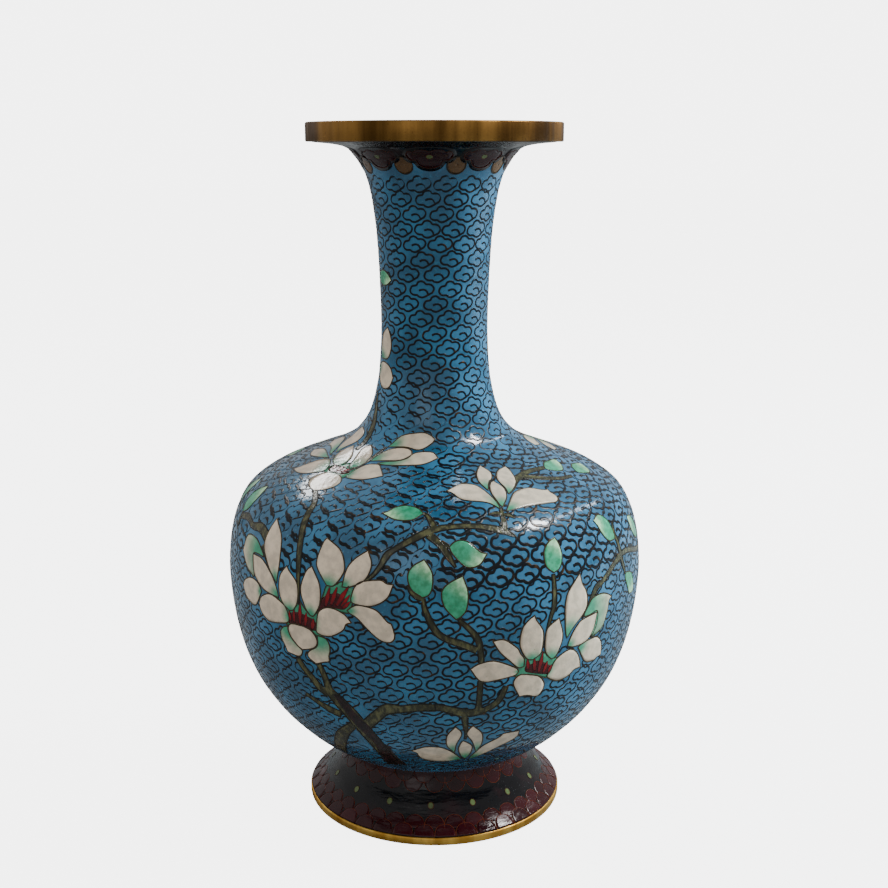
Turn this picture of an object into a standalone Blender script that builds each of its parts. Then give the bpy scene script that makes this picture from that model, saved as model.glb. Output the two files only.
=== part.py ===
import math

import bmesh
import bpy
from mathutils import Vector

# Driving dimensions, in metres.  Z is up and the foot stands on Z = 0.
HEIGHT = 0.203
BELLY_RADIUS = 0.0615
BELLY_Z = 0.074
NECK_RADIUS = 0.0155
NECK_Z = 0.145
THROAT_RADIUS = 0.0247
RIM_RADIUS = 0.0365
RIM_HEIGHT = 0.0054
RIM_THICKNESS = 0.0016
RIM_LIP = 0.0007
FOOT_RADIUS = 0.0388
FOOT_WAIST = 0.0268
FOOT_HEIGHT = 0.018
FOOT_RIM_HEIGHT = 0.0024
COLLAR_DEPTH = 0.0135
ENAMEL = 0.0008
COPPER = 0.0010
LINING = 0.0006
SOLDER = 0.0010
GAP = 0.0003
STEPS = 32

# Depth of each coat below the enamelled face.
SHELL_NEAR = ENAMEL + GAP
SHELL_FAR = SHELL_NEAR + COPPER
LINING_NEAR = SHELL_FAR + GAP
LINING_FAR = LINING_NEAR + LINING

# Colour, metallic, roughness and coat of each material.
FINISHES = {
    "brass": ((0.55, 0.37, 0.12), 1.0, 0.32, 0.0),
    "copper": ((0.60, 0.28, 0.17), 1.0, 0.40, 0.0),
    "silver_solder": ((0.62, 0.61, 0.58), 1.0, 0.45, 0.0),
    "blue_enamel": ((0.05, 0.21, 0.36), 0.0, 0.15, 0.6),
    "dark_enamel": ((0.02, 0.008, 0.01), 0.0, 0.12, 0.6),
    "lining_enamel": ((0.04, 0.24, 0.33), 0.0, 0.25, 0.4),
    "petal_enamel": ((0.62, 0.53, 0.47), 0.0, 0.15, 0.6),
    "leaf_enamel": ((0.12, 0.42, 0.22), 0.0, 0.15, 0.6),
    "bark_enamel": ((0.10, 0.09, 0.05), 0.0, 0.20, 0.5),
}

# Shape of each stretch of wall: share of the radius change, share of the rise.
BOWL_CURVE = (
    (0.0, 0.0), (0.180, 0.036), (0.337, 0.107), (0.530, 0.220), (0.703, 0.350),
    (0.842, 0.510), (0.942, 0.714), (1.0, 1.0),
)
SHOULDER_CURVE = (
    (0.978, 0.169), (0.935, 0.262), (0.855, 0.347), (0.713, 0.409), (0.502, 0.465),
    (0.333, 0.507), (0.207, 0.549), (0.100, 0.620), (0.035, 0.750), (0.0, 1.0),
)
THROAT_CURVE = ((0.055, 0.330), (0.270, 0.730), (0.600, 0.910), (1.0, 1.0))
FOOT_CURVE = (
    (1.0, 0.0), (0.655, 0.231), (0.448, 0.423), (0.198, 0.615), (0.069, 0.808), (0.0, 1.0),
)

# Inlay outlines as (angle in degrees, distance up the wall in millimetres), drawn on a
# wall that runs between these two marks, from foot to throat, and stretched with it.
DRAWN_FOOT = 0.0203
DRAWN_THROAT = 0.2374
LONGEST_SIDE = 7.0
OUTLINES = {
    "low_branch": ("bark_enamel", (
        (-20, 36.5), (-15, 36.5), (-13.5, 50), (-16.5, 58.5), (-11, 63.6), (-2, 65.6),
        (7.5, 64), (15, 65), (20.5, 70.5), (18, 72), (14, 69.4), (7, 69), (-2, 70.4),
        (-12, 68.6), (-19.5, 64), (-25, 72), (-29.5, 71.5), (-24.5, 62), (-19.5, 50))),
    "left_blossom": ("petal_enamel", (
        (-39.5, 76.5), (-35.5, 79), (-30, 76), (-26.5, 78.5), (-27.5, 85), (-19.5, 91),
        (-20.5, 94.5), (-27, 95.5), (-30.5, 105), (-34.5, 105.5), (-37, 103.5), (-45, 106),
        (-48.5, 115), (-52.5, 113.5), (-54, 105), (-63, 107.5), (-65, 103.5), (-57, 97),
        (-62, 91), (-60, 87.5), (-49, 87), (-41, 83))),
    "middle_blossom": ("petal_enamel", (
        (-17.5, 91), (-10, 86), (-7.5, 88.5), (-12, 95), (-14.5, 98), (-8.5, 102), (-10, 105),
        (-16, 105.5), (-15.5, 111.5), (-19, 111.5), (-23, 106), (-28, 113.5), (-31.5, 112),
        (-29, 106.5), (-26, 97.2), (-19, 96))),
    "right_blossom": ("petal_enamel", (
        (24, 70), (28, 68), (32, 74.5), (38, 74), (52, 73), (53, 78), (48.5, 82), (48, 89),
        (43, 92), (41.5, 101.5), (37, 101), (34, 93), (26, 93.5), (22, 88), (14, 88.5),
        (12.5, 84), (7.5, 82), (8, 78.8), (20, 76))),
    "top_blossom": ("petal_enamel", (
        (20, 121.8), (44, 121.5), (45, 125), (33, 128), (40, 140), (36, 143.5), (28, 136),
        (25.5, 145), (21.5, 144.5), (18, 133), (5, 134.5), (3, 131), (15, 125.5))),
    "shoulder_blossom": ("petal_enamel", (
        (-48, 128.5), (-43, 129.5), (-40, 134), (-22, 136.5), (-22, 140.5), (-38, 142.3),
        (-48, 151.5), (-54, 150.5), (-57, 144.5), (-65, 148), (-69, 144.5), (-60, 138.5),
        (-73, 132), (-72, 128.5), (-56, 132.5))),
    "shoulder_bud": ("petal_enamel", (
        (-31, 145.5), (-12, 144.5), (3, 146), (4, 153), (-1, 156.5), (-18, 153.5),
        (-32, 150))),
    "low_bud": ("petal_enamel", (
        (9, 40), (12.5, 40.5), (27, 51), (27.5, 54.5), (15, 51), (12.5, 60.5), (4.5, 61),
        (5.5, 50), (-7, 50.5), (-8.5, 47.5))),
    "middle_branch": ("bark_enamel", (
        (-12.5, 108.3), (-10, 107.2), (-5, 113), (1, 116.4), (10, 117.2), (17, 116.2),
        (20.5, 112.5), (23, 114), (20, 119.5), (10, 120.8), (0, 119.8), (-7, 116.5))),
    "right_branch": ("bark_enamel", (
        (46, 94.5), (52, 98.6), (60, 99.8), (72, 99.2), (72, 101.8), (60, 102.6), (53, 102.4),
        (45, 97.8))),
    "leaf_middle": ("leaf_enamel", (
        (-4.5, 99.5), (-1.5, 101), (-0.5, 105), (-2.5, 109.8), (-5, 105.5))),
    "leaf_upright": ("leaf_enamel", (
        (5, 94.4), (8.5, 96), (10, 100), (7, 105.5), (3.5, 100))),
    "leaf_hanging": ("leaf_enamel", (
        (2, 111.3), (8, 107.8), (13, 109.3), (9, 112.8), (3, 113))),
    "leaf_upper_left": ("leaf_enamel", (
        (-16, 123.6), (-9, 121.6), (-3.2, 122.4), (-3.2, 123.8), (-9, 126))),
    "leaf_right": ("leaf_enamel", (
        (31, 103), (35, 104), (37.5, 108), (36.8, 112.8), (32, 109.5))),
    "leaf_far_right": ("leaf_enamel", (
        (57, 106), (58.5, 109.5), (51, 115.5), (49.5, 112), (53, 107.5))),
    "leaf_shoulder": ("leaf_enamel", (
        (57, 134.5), (64, 133.5), (73, 137), (64, 139), (57, 137))),
    "leaf_shoulder_end": ("leaf_enamel", (
        (69, 126), (76, 126), (84, 129.5), (76, 130.5), (69, 128))),
}

# Inlays repeated half a turn round, on the far side.
FAR_SIDE = ("low_branch", "left_blossom", "right_blossom", "top_blossom", "low_bud")


def stretch(curve, start, end):
    """Points of a curve table spread over a range of radius and a range of height."""
    return [(start[0] + (end[0] - start[0]) * u, start[1] + (end[1] - start[1]) * v)
            for u, v in curve]


def wall_line():
    """The enamelled face from the middle of the bottom up to the edge of the mouth."""
    waist = (FOOT_WAIST, FOOT_HEIGHT)
    belly = (BELLY_RADIUS, BELLY_Z)
    neck = (NECK_RADIUS, NECK_Z)
    throat = (THROAT_RADIUS, HEIGHT - RIM_HEIGHT - 0.0016)
    line = [(0.0, FOOT_HEIGHT)]
    line += stretch(BOWL_CURVE, waist, belly)
    line += [(neck[0] + (belly[0] - neck[0]) * u, belly[1] + (neck[1] - belly[1]) * v)
             for u, v in SHOULDER_CURVE]
    line += stretch(THROAT_CURVE, neck, throat)
    line.append((RIM_RADIUS - RIM_THICKNESS - GAP, HEIGHT - RIM_HEIGHT - 0.0003))
    return [Vector(point) for point in line]


WALL = wall_line()
LENGTHS = [0.0]
for first, second in zip(WALL, WALL[1:]):
    LENGTHS.append(LENGTHS[-1] + (second - first).length)


def side_normal(index):
    """Outward normal of one straight stretch of the wall line."""
    along = (WALL[index + 1] - WALL[index]).normalized()
    return Vector((along.y, -along.x))


def corner_normal(index):
    """Outward normal at a point of the wall line, lengthened so offsets stay even."""
    if index == 0:
        return side_normal(0)
    if index == len(WALL) - 1:
        return side_normal(index - 1)
    before = side_normal(index - 1)
    middle = (before + side_normal(index)).normalized()
    return middle / middle.dot(before)


def reach(height):
    """Distance along the wall line at a height above the bottom."""
    for index in range(1, len(WALL) - 1):
        low = WALL[index].y
        high = WALL[index + 1].y
        if height <= high:
            share = (height - low) / (high - low)
            return LENGTHS[index] + share * (LENGTHS[index + 1] - LENGTHS[index])
    return LENGTHS[-1]


def wall_at(distance):
    """Point and outward normal on the wall line at a distance along it."""
    for index in range(len(WALL) - 1):
        if distance <= LENGTHS[index + 1]:
            share = (distance - LENGTHS[index]) / (LENGTHS[index + 1] - LENGTHS[index])
            return WALL[index].lerp(WALL[index + 1], share), side_normal(index)
    return WALL[-1], side_normal(len(WALL) - 2)


def smooth_at(distance):
    """As wall_at, with a normal that turns evenly from corner to corner."""
    for index in range(len(WALL) - 1):
        if distance <= LENGTHS[index + 1]:
            share = (distance - LENGTHS[index]) / (LENGTHS[index + 1] - LENGTHS[index])
            normal = corner_normal(index).lerp(corner_normal(index + 1), share)
            return WALL[index].lerp(WALL[index + 1], share), normal.normalized()
    return WALL[-1], corner_normal(len(WALL) - 1)


def offset_line(start, end, depth):
    """The wall line between two distances, moved inward by a depth, from low to high."""
    point, normal = wall_at(start)
    line = [point - normal * depth]
    for index, distance in enumerate(LENGTHS):
        if start + 0.0002 < distance < end - 0.0002:
            line.append(WALL[index] - corner_normal(index) * depth)
    point, normal = wall_at(end)
    line.append(point - normal * depth)
    return line


def coat(start, end, near, far):
    """Closed loop of a coat: down its outer side, then up its inner side."""
    return offset_line(start, end, near)[::-1] + offset_line(start, end, far)


def link(node, collection):
    """Put an object in one collection only."""
    collection.objects.link(node)
    return node


def turned(name, loop, finish, collection):
    """A closed loop of (radius, height) points turned round the Z axis."""
    mesh = bpy.data.meshes.new(name)
    count = len(loop)
    edges = [(i, (i + 1) % count) for i in range(count)
             if loop[i][0] + loop[(i + 1) % count][0] > 0.0]
    mesh.from_pydata([(point[0], 0.0, point[1]) for point in loop], edges, [])
    node = link(bpy.data.objects.new(name, mesh), collection)
    screw = node.modifiers.new("turn", "SCREW")
    screw.axis = "Z"
    screw.angle = math.tau
    screw.steps = STEPS
    screw.render_steps = STEPS
    screw.use_merge_vertices = True
    screw.merge_threshold = 0.00001
    screw.use_smooth_shade = True
    mesh.materials.append(material(name, finish))
    return node


def material(name, finish):
    """A Principled material of the node's own."""
    color, metallic, roughness, coat_weight = FINISHES[finish]
    made = bpy.data.materials.new(name)
    made.use_nodes = True
    shader = made.node_tree.nodes["Principled BSDF"]
    shader.inputs["Base Color"].default_value = (*color, 1.0)
    shader.inputs["Metallic"].default_value = metallic
    shader.inputs["Roughness"].default_value = roughness
    shader.inputs["Coat Weight"].default_value = coat_weight
    return made


def divided(outline):
    """An outline with its long sides divided, so that they follow the round wall."""
    points = []
    for index, (angle, rise) in enumerate(outline):
        next_angle, next_rise = outline[(index + 1) % len(outline)]
        parts = math.ceil(max(abs(next_angle - angle), abs(next_rise - rise)) / LONGEST_SIDE)
        for part in range(parts):
            share = part / parts
            points.append((angle + (next_angle - angle) * share,
                           rise + (next_rise - rise) * share))
    return points


def grown(outline, width):
    """A flat outline moved outward by a width; points run anticlockwise."""
    moved = []
    count = len(outline)
    for index in range(count):
        point = outline[index]
        before = (point - outline[index - 1]).normalized()
        after = (outline[(index + 1) % count] - point).normalized()
        first = Vector((before.y, -before.x))
        second = Vector((after.y, -after.x))
        middle = (first + second).normalized()
        moved.append(point + middle * (width / max(0.5, middle.dot(first))))
    return moved


def prism(name, outline, turn, growth, collection):
    """A block that stands across the wall inside an outline, used only to cut with."""
    scale = (LENGTHS[-2] - LENGTHS[1]) / (DRAWN_THROAT - DRAWN_FOOT)
    center = sum(angle for angle, rise in outline) / len(outline)
    flat = []
    widest = 0.0
    for angle, rise in divided(outline):
        distance = LENGTHS[1] + (rise * 0.001 - DRAWN_FOOT) * scale
        radius = wall_at(distance)[0].x
        around = math.radians(angle - center)
        flat.append(Vector((around * radius, distance)))
        widest = max(widest, radius * (1.0 - math.cos(around)))
    vertices = []
    for depth in (0.0015 + widest, -0.004):
        for place in grown(flat, growth):
            point, normal = smooth_at(place.y)
            around = math.radians(center + turn) + place.x / point.x
            radius = point.x + normal.x * depth
            height = point.y + normal.y * depth
            vertices.append((radius * math.sin(around), -radius * math.cos(around), height))
    count = len(flat)
    faces = [tuple(range(count)), tuple(reversed(range(count, 2 * count)))]
    faces += [(i, i + count, (i + 1) % count + count, (i + 1) % count) for i in range(count)]
    mesh = bpy.data.meshes.new(name)
    mesh.from_pydata(vertices, [], faces)
    block = bmesh.new()
    block.from_mesh(mesh)
    bmesh.ops.triangulate(block, faces=block.faces)
    bmesh.ops.recalc_face_normals(block, faces=block.faces)
    block.to_mesh(mesh)
    block.free()
    node = link(bpy.data.objects.new(name, mesh), collection)
    node.hide_render = True
    node.display_type = "WIRE"
    return node


def cut(node, tool, operation):
    """Boolean of a node with a cutting block."""
    boolean = node.modifiers.new(tool.name, "BOOLEAN")
    boolean.solver = "EXACT"
    boolean.operation = operation
    boolean.object = tool


for old in list(bpy.data.objects):
    bpy.data.objects.remove(old, do_unlink=True)

vase = bpy.data.collections.new("cloisonne_vase")
cutters = bpy.data.collections.new("cutters")
bpy.context.scene.collection.children.link(vase)
bpy.context.scene.collection.children.link(cutters)

# Where the copper body is joined, as distances along the wall.
end = LENGTHS[-1]
belly_seam = reach(BELLY_Z)
neck_seam = reach(BELLY_Z + (NECK_Z - BELLY_Z) * 0.507)
mouth_seam = reach(HEIGHT - RIM_HEIGHT - 0.005)
half = SOLDER / 2 + GAP

# Hammered copper body, in the pieces it is raised in, and the solder between them.
turned("bowl_shell", coat(0.0, belly_seam - half, SHELL_NEAR, SHELL_FAR), "copper", vase)
turned("shoulder_shell", coat(belly_seam + half, neck_seam - half, SHELL_NEAR, SHELL_FAR),
       "copper", vase)
turned("neck_shell", coat(neck_seam + half, mouth_seam - half, SHELL_NEAR, SHELL_FAR),
       "copper", vase)
for name, seam in (("belly", belly_seam), ("neck", neck_seam), ("mouth", mouth_seam)):
    loop = coat(seam - SOLDER / 2, seam + SOLDER / 2, SHELL_NEAR, SHELL_FAR)
    turned(name + "_solder", loop, "silver_solder", vase)

# Copper dish of the mouth, with its edge turned up inside the brass rim.
dish_radius = RIM_RADIUS - RIM_THICKNESS - GAP
dish_top = HEIGHT - RIM_LIP - GAP
dish_under = offset_line(mouth_seam + half, end, SHELL_NEAR)
dish_over = offset_line(mouth_seam + half, end, SHELL_FAR)
dish_over[-1] = Vector((dish_radius - COPPER, dish_over[-1].y))
dish_under[-1] = Vector((dish_radius, dish_under[-1].y))
dish_edge = [Vector((dish_radius - COPPER, dish_top)), Vector((dish_radius, dish_top))]
turned("mouth_dish", dish_edge[::-1][:1] + dish_under[::-1] + dish_over + dish_edge[:1],
       "copper", vase)

# Brass rim of the mouth: a band with a lip that laps over the dish.
rim_low = HEIGHT - RIM_HEIGHT
band = [
    (RIM_RADIUS - 0.0004, HEIGHT), (RIM_RADIUS, HEIGHT - 0.0004),
    (RIM_RADIUS, rim_low + 0.0004), (RIM_RADIUS - 0.0004, rim_low),
    (RIM_RADIUS - RIM_THICKNESS, rim_low), (RIM_RADIUS - RIM_THICKNESS, HEIGHT - RIM_LIP),
    (dish_radius - COPPER - GAP, HEIGHT - RIM_LIP), (dish_radius - COPPER - GAP, HEIGHT),
]
turned("mouth_rim", band, "brass", vase)

# Foot: copper skirt under its dark enamel, soldered under the bowl, standing on brass.
foot_low = FOOT_RIM_HEIGHT + GAP
foot_line = stretch(FOOT_CURVE, (FOOT_WAIST, foot_low),
                    (FOOT_RADIUS - 0.0006, FOOT_HEIGHT - GAP))[::-1]


def skirt(near, far, drop):
    """Closed loop of a foot coat between two depths, measured level."""
    top = foot_line[0][1] - drop
    rows = [(radius, min(height, top)) for radius, height in foot_line]
    outer = [(radius - near, height) for radius, height in rows]
    return outer + [(radius - far, height) for radius, height in rows[::-1]]


skin = ENAMEL + 0.0002
metal = skin + GAP + 0.0001
lining = metal + COPPER + 0.0002 + GAP + 0.0001
turned("foot_enamel", skirt(0.0, skin, 0.0), "dark_enamel", vase)
turned("foot_shell", skirt(metal, metal + COPPER + 0.0002, 0.0), "copper", vase)
solder_low = foot_line[0][1] + GAP
solder_high = FOOT_HEIGHT + SHELL_NEAR - GAP
waist_out = FOOT_WAIST - metal
waist_in = waist_out - COPPER - 0.0002
turned("foot_solder", [(waist_out, solder_high), (waist_out, solder_low),
                       (waist_in, solder_low), (waist_in, solder_high)],
       "silver_solder", vase)
base_high = FOOT_HEIGHT + SHELL_NEAR - GAP
under = [(0.0, base_high), (FOOT_WAIST - lining, base_high)]
under += [(radius - lining, height) for radius, height in foot_line]
under += [(radius - lining - LINING, height) for radius, height in foot_line[:0:-1]]
under += [(FOOT_WAIST - lining - LINING, base_high - LINING), (0.0, base_high - LINING)]
turned("base_enamel", under, "lining_enamel", vase)
foot_inside = FOOT_RADIUS - lining - LINING - 0.0006
turned("foot_rim", [
    (FOOT_RADIUS - 0.0004, FOOT_RIM_HEIGHT), (FOOT_RADIUS, FOOT_RIM_HEIGHT - 0.0004),
    (FOOT_RADIUS, 0.0004), (FOOT_RADIUS - 0.0004, 0.0),
    (foot_inside, 0.0), (foot_inside, FOOT_RIM_HEIGHT)], "brass", vase)

# Counter enamel inside the body, one coat from the bottom up to the lip of the dish.
lining_side = dish_radius - COPPER - GAP
lining_out = offset_line(0.0, end, LINING_NEAR)
lining_in = offset_line(0.0, end, LINING_FAR)
lining_out[-1] = Vector((lining_side, lining_out[-1].y))
lining_in[-1] = Vector((lining_side - LINING, lining_in[-1].y))
turned("inner_enamel", [Vector((lining_side, dish_top))] + lining_out[::-1] + lining_in
       + [Vector((lining_side - LINING, dish_top))], "lining_enamel", vase)

# Outer enamel: dark collar under the mouth, and the blue ground with windows for inlays.
collar_start = reach(HEIGHT - COLLAR_DEPTH)
turned("collar_enamel", coat(collar_start + GAP / 2, end, 0.0, ENAMEL), "dark_enamel", vase)
ground_loop = coat(LENGTHS[1] + 0.0012, collar_start - GAP / 2, 0.0, ENAMEL)
ground = turned("ground_enamel", ground_loop, "blue_enamel", vase)


def inlay(name, outline, finish, turn):
    """A fill of enamel set in a window of the blue ground."""
    piece = turned(name, ground_loop, finish, vase)
    cut(piece, prism(name + "_fill", outline, turn, 0.0, cutters), "INTERSECT")
    cut(ground, prism(name + "_window", outline, turn, 1.5 * GAP, cutters), "DIFFERENCE")


for name, (finish, outline) in OUTLINES.items():
    inlay(name, outline, finish, 0.0)
    if name in FAR_SIDE:
        inlay("far_" + name, outline, finish, 180.0)
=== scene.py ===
import math

import bpy
import numpy as np
from mathutils import Matrix, Vector


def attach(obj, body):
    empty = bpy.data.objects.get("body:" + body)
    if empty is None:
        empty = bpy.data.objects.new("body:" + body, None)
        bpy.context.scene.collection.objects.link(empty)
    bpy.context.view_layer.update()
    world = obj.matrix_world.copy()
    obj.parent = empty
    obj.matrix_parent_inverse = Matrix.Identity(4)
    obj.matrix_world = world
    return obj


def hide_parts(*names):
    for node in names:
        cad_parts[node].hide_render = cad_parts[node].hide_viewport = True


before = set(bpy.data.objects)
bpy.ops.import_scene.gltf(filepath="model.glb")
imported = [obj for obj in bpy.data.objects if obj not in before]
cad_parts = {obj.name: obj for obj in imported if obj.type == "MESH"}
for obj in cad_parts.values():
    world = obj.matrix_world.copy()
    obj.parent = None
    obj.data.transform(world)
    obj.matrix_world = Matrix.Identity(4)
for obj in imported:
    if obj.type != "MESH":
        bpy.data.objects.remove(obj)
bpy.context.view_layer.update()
rng = np.random.default_rng(7)

# ---------------------------------------------------------------- the turned wall
# Enamelled face of the body, (radius, height) in mm from the foot joint to the throat.
BODY = [
    (26.8, 18.0), (33.1, 20.2), (38.5, 24.0), (43.0, 28.0), (48.5, 34.0), (53.8, 42.0),
    (57.3, 50.0), (59.5, 58.0), (60.8, 66.0), (61.4, 74.0), (61.2, 80.0), (60.4, 86.0),
    (58.7, 92.0), (55.3, 98.0), (48.3, 103.0), (38.6, 107.0), (30.8, 110.0), (25.0, 113.0),
    (21.7, 116.0), (19.2, 120.0), (17.3, 126.0), (16.0, 134.0), (15.5, 145.0), (15.8, 158.0),
    (16.6, 172.0), (17.9, 182.0), (19.4, 188.0), (21.4, 192.0), (23.3, 194.5), (24.9, 196.0),
    (28.5, 196.9), (34.5, 197.5),
]
FOOT = [(38.5, 2.6), (36.6, 4.1), (34.4, 6.0), (31.8, 9.0), (29.1, 12.0), (27.5, 15.0), (26.8, 17.8)]


def spline(points, closed=False, step=0.4):
    """Points of a smooth curve through a few, about one step apart."""
    p = np.asarray(points, float)
    if closed:
        ext = np.vstack([p[-1:], p, p[:2]])
    else:
        ext = np.vstack([2 * p[0] - p[1], p, 2 * p[-1] - p[-2]])
    out = []
    for i in range(1, len(ext) - 2):
        a, b, c, d = ext[i - 1], ext[i], ext[i + 1], ext[i + 2]
        n = max(2, int(math.ceil(np.linalg.norm(c - b) / step)))
        t = (np.arange(n) / n)[:, None]
        out.append(0.5 * (2 * b + (c - a) * t + (2 * a - 5 * b + 4 * c - d) * t**2
                          + (3 * b - a - 3 * c + d) * t**3))
    if not closed:
        out.append(p[-1:])
    return np.vstack(out)


class Wall:
    """A turned face: positions from an angle in degrees, a distance along and a lift in mm."""

    def __init__(self, outline, mark=None):
        line = spline(outline, step=0.25)
        self.s = np.concatenate([[0.0], np.cumsum(np.hypot(*np.diff(line, axis=0).T))])
        if mark:
            self.s += mark[1] - np.interp(mark[0], line[:, 1], self.s)
        self.r, self.z = line.T
        slope = np.gradient(line, self.s, axis=0)
        length = np.hypot(*slope.T)
        self.nr, self.nz = slope[:, 1] / length, -slope[:, 0] / length

    def radius(self, s):
        return np.interp(s, self.s, self.r)

    def height(self, s):
        return np.interp(s, self.s, self.z)

    def __call__(self, angle, s, lift):
        turn = np.radians(angle)
        radius = self.radius(s) + lift * np.interp(s, self.s, self.nr)
        height = self.height(s) + lift * np.interp(s, self.s, self.nz)
        return np.stack([radius * np.sin(turn), -radius * np.cos(turn), height], -1) * 0.001


body = Wall(BODY, mark=(26.0, 36.7))
foot = Wall(FOOT)
COLLAR = 229.6                       # distance along the wall where the dark collar starts
DARK_EDGE = 232.4                    # where the blue ground gives way to it
THROAT_END = float(body.s[-1])

# Heights in mm over the ground, and depths under it.
HEART_LIFT, BRANCH_LIFT, CELL_LIFT, STAMEN_LIFT = 0.03, 0.05, 0.07, 0.09
WIRE_LIFT, CLOUD_LIFT, DARK_WIRE_LIFT = 0.1, 0.05, 0.12
WIRE_ROOT, CELL_ROOT, COAT = -0.02, -0.12, 0.8
# Widths of the wires in mm.
PETAL_WIRE, BRANCH_WIRE, STAMEN_WIRE, HEART_WIRE = 0.46, 0.5, 0.16, 0.34
CLOUD_WIRE, SHOULDER_WIRE, RING_WIRE = 0.66, 0.82, 0.5
DISC_WIRE, CORE_WIRE, FINE_WIRE, SCALE_WIRE = 0.5, 0.22, 0.2, 0.16


# ---------------------------------------------------------------- building meshes
def srgb(*c):
    return tuple((v / 255 / 12.92) if v < 11 else ((v / 255 + 0.055) / 1.055) ** 2.4 for v in c)


class Builder:
    """Gathers vertices, faces and vertex colours for one piece."""

    def __init__(self):
        self.v, self.f, self.c, self.n = [], [], [], 0

    def add(self, verts, faces, color):
        verts = np.asarray(verts, float).reshape(-1, 3)
        color = np.broadcast_to(np.asarray(color, float), (len(verts), 3))
        self.v.append(verts)
        self.c.append(color)
        self.f.append(np.asarray(faces, int) + self.n)
        self.n += len(verts)

    def piece(self, name, material, slot, *nodes):
        verts, faces = np.vstack(self.v), np.vstack(self.f)
        mesh = bpy.data.meshes.new(name)
        mesh.vertices.add(len(verts))
        mesh.vertices.foreach_set("co", verts.ravel())
        mesh.loops.add(faces.size)
        mesh.loops.foreach_set("vertex_index", faces.ravel())
        mesh.polygons.add(len(faces))
        mesh.polygons.foreach_set("loop_start", np.arange(0, faces.size, faces.shape[1]))
        mesh.update(calc_edges=True)
        mesh.polygons.foreach_set("use_smooth", np.ones(len(faces), bool))
        tint = mesh.color_attributes.new("Tint", "FLOAT_COLOR", "POINT")
        tint.data.foreach_set("color", np.hstack([np.vstack(self.c), np.ones((len(verts), 1))]).ravel())
        mesh.materials.append(material)
        mesh.validate()
        made = bpy.data.objects.new(name, mesh)
        bpy.context.scene.collection.objects.link(made)
        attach(made, "root")
        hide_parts(*nodes)
        return made


def turned(ring, count, around):
    """Vertices and faces of a closed outline turned round the axis."""
    angle = np.arange(around) * 360.0 / around
    verts = np.stack([ring(a) for a in angle])
    i, j = np.meshgrid(np.arange(around), np.arange(count), indexing="ij")
    i2, j2 = (i + 1) % around, (j + 1) % count
    quads = np.stack([i * count + j, i2 * count + j, i2 * count + j2, i * count + j2], -1)
    return verts.reshape(-1, 3), quads.reshape(-1, 4)


def lathe(outline, around):
    """A closed (radius, height) outline in mm turned round the axis."""
    r, z = np.asarray(outline, float).T

    def ring(angle):
        turn = math.radians(angle)
        return np.stack([r * math.sin(turn), -r * math.cos(turn), z], -1) * 0.001

    return turned(ring, len(r), around)


# ---------------------------------------------------------------- cells and wires
class Patch:
    """Flat millimetres round a point of the wall: right and up, to angle and distance."""

    def __init__(self, angle, s, wall=body):
        self.angle, self.s, self.wall = angle, s, wall

    def __call__(self, points):
        p = np.asarray(points, float)
        s = self.s + p[..., 1]
        return np.stack([self.angle + np.degrees(p[..., 0] / self.wall.radius(s)), s], -1)


def inside(points, polygon):
    """Which points lie in a closed polygon."""
    x, y = points.T
    hit = np.zeros(len(points), bool)
    lo, hi = polygon.min(0), polygon.max(0)
    near = (x > lo[0]) & (x < hi[0]) & (y > lo[1]) & (y < hi[1])
    if not near.any():
        return hit
    x, y = x[near], y[near]
    a, b = polygon, np.roll(polygon, -1, 0)
    odd = np.zeros(len(x), bool)
    for (x0, y0), (x1, y1) in zip(a, b):
        if y0 != y1:
            odd ^= ((y0 > y) != (y1 > y)) & (x < (x1 - x0) * (y - y0) / (y1 - y0) + x0)
    hit[near] = odd
    return hit


def runs(line, keep, closed):
    """Stretches of a line that are kept, as separate open lines; None if all is kept."""
    if keep.all():
        return None
    if closed:
        start = int(np.argmin(keep))
        line, keep = np.roll(line, -start, 0), np.roll(keep, -start)
    cuts = np.flatnonzero(np.diff(np.concatenate([[0], keep.astype(int), [0]])))
    return [line[a:b] for a, b in zip(cuts[::2], cuts[1::2]) if b - a > 2]


def wire(builder, wall, line, closed, width, top, color, rise=1.0):
    """A flat strip of wire stood in the enamel along a line of (angle, distance).

    The rise widens the stretches that run round the wall.
    """
    line = np.asarray(line, float)
    radius = wall.radius(line[:, 1])
    flat = np.stack([np.radians(line[:, 0]) * radius, line[:, 1]], -1)
    if closed:
        along = np.roll(flat, -1, 0) - np.roll(flat, 1, 0)
    else:
        along = np.gradient(flat, axis=0)
    along /= np.maximum(np.hypot(*along.T), 1e-9)[:, None]
    side = np.stack([along[:, 1], -along[:, 0]], -1)
    places = []
    for share, lift in ((-0.5, WIRE_ROOT), (-0.34, top), (0.34, top), (0.5, WIRE_ROOT)):
        move = side * (1.0, rise) * (width * share)
        places.append(wall(line[:, 0] + np.degrees(move[:, 0] / radius), line[:, 1] + move[:, 1], lift))
    verts = np.stack(places, 1)
    n = len(line)
    i = np.arange(n if closed else n - 1)[:, None]
    k = np.arange(4)[None, :]
    j, l = (i + 1) % n, (k + 1) % 4
    faces = np.stack([i * 4 + k, i * 4 + l, j * 4 + l, j * 4 + k], -1).reshape(-1, 4)
    if not closed:
        e = (n - 1) * 4
        faces = np.vstack([faces, [[3, 2, 1, 0], [e, e + 1, e + 2, e + 3]]])
    builder.add(verts.reshape(-1, 3), faces, color)


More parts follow.
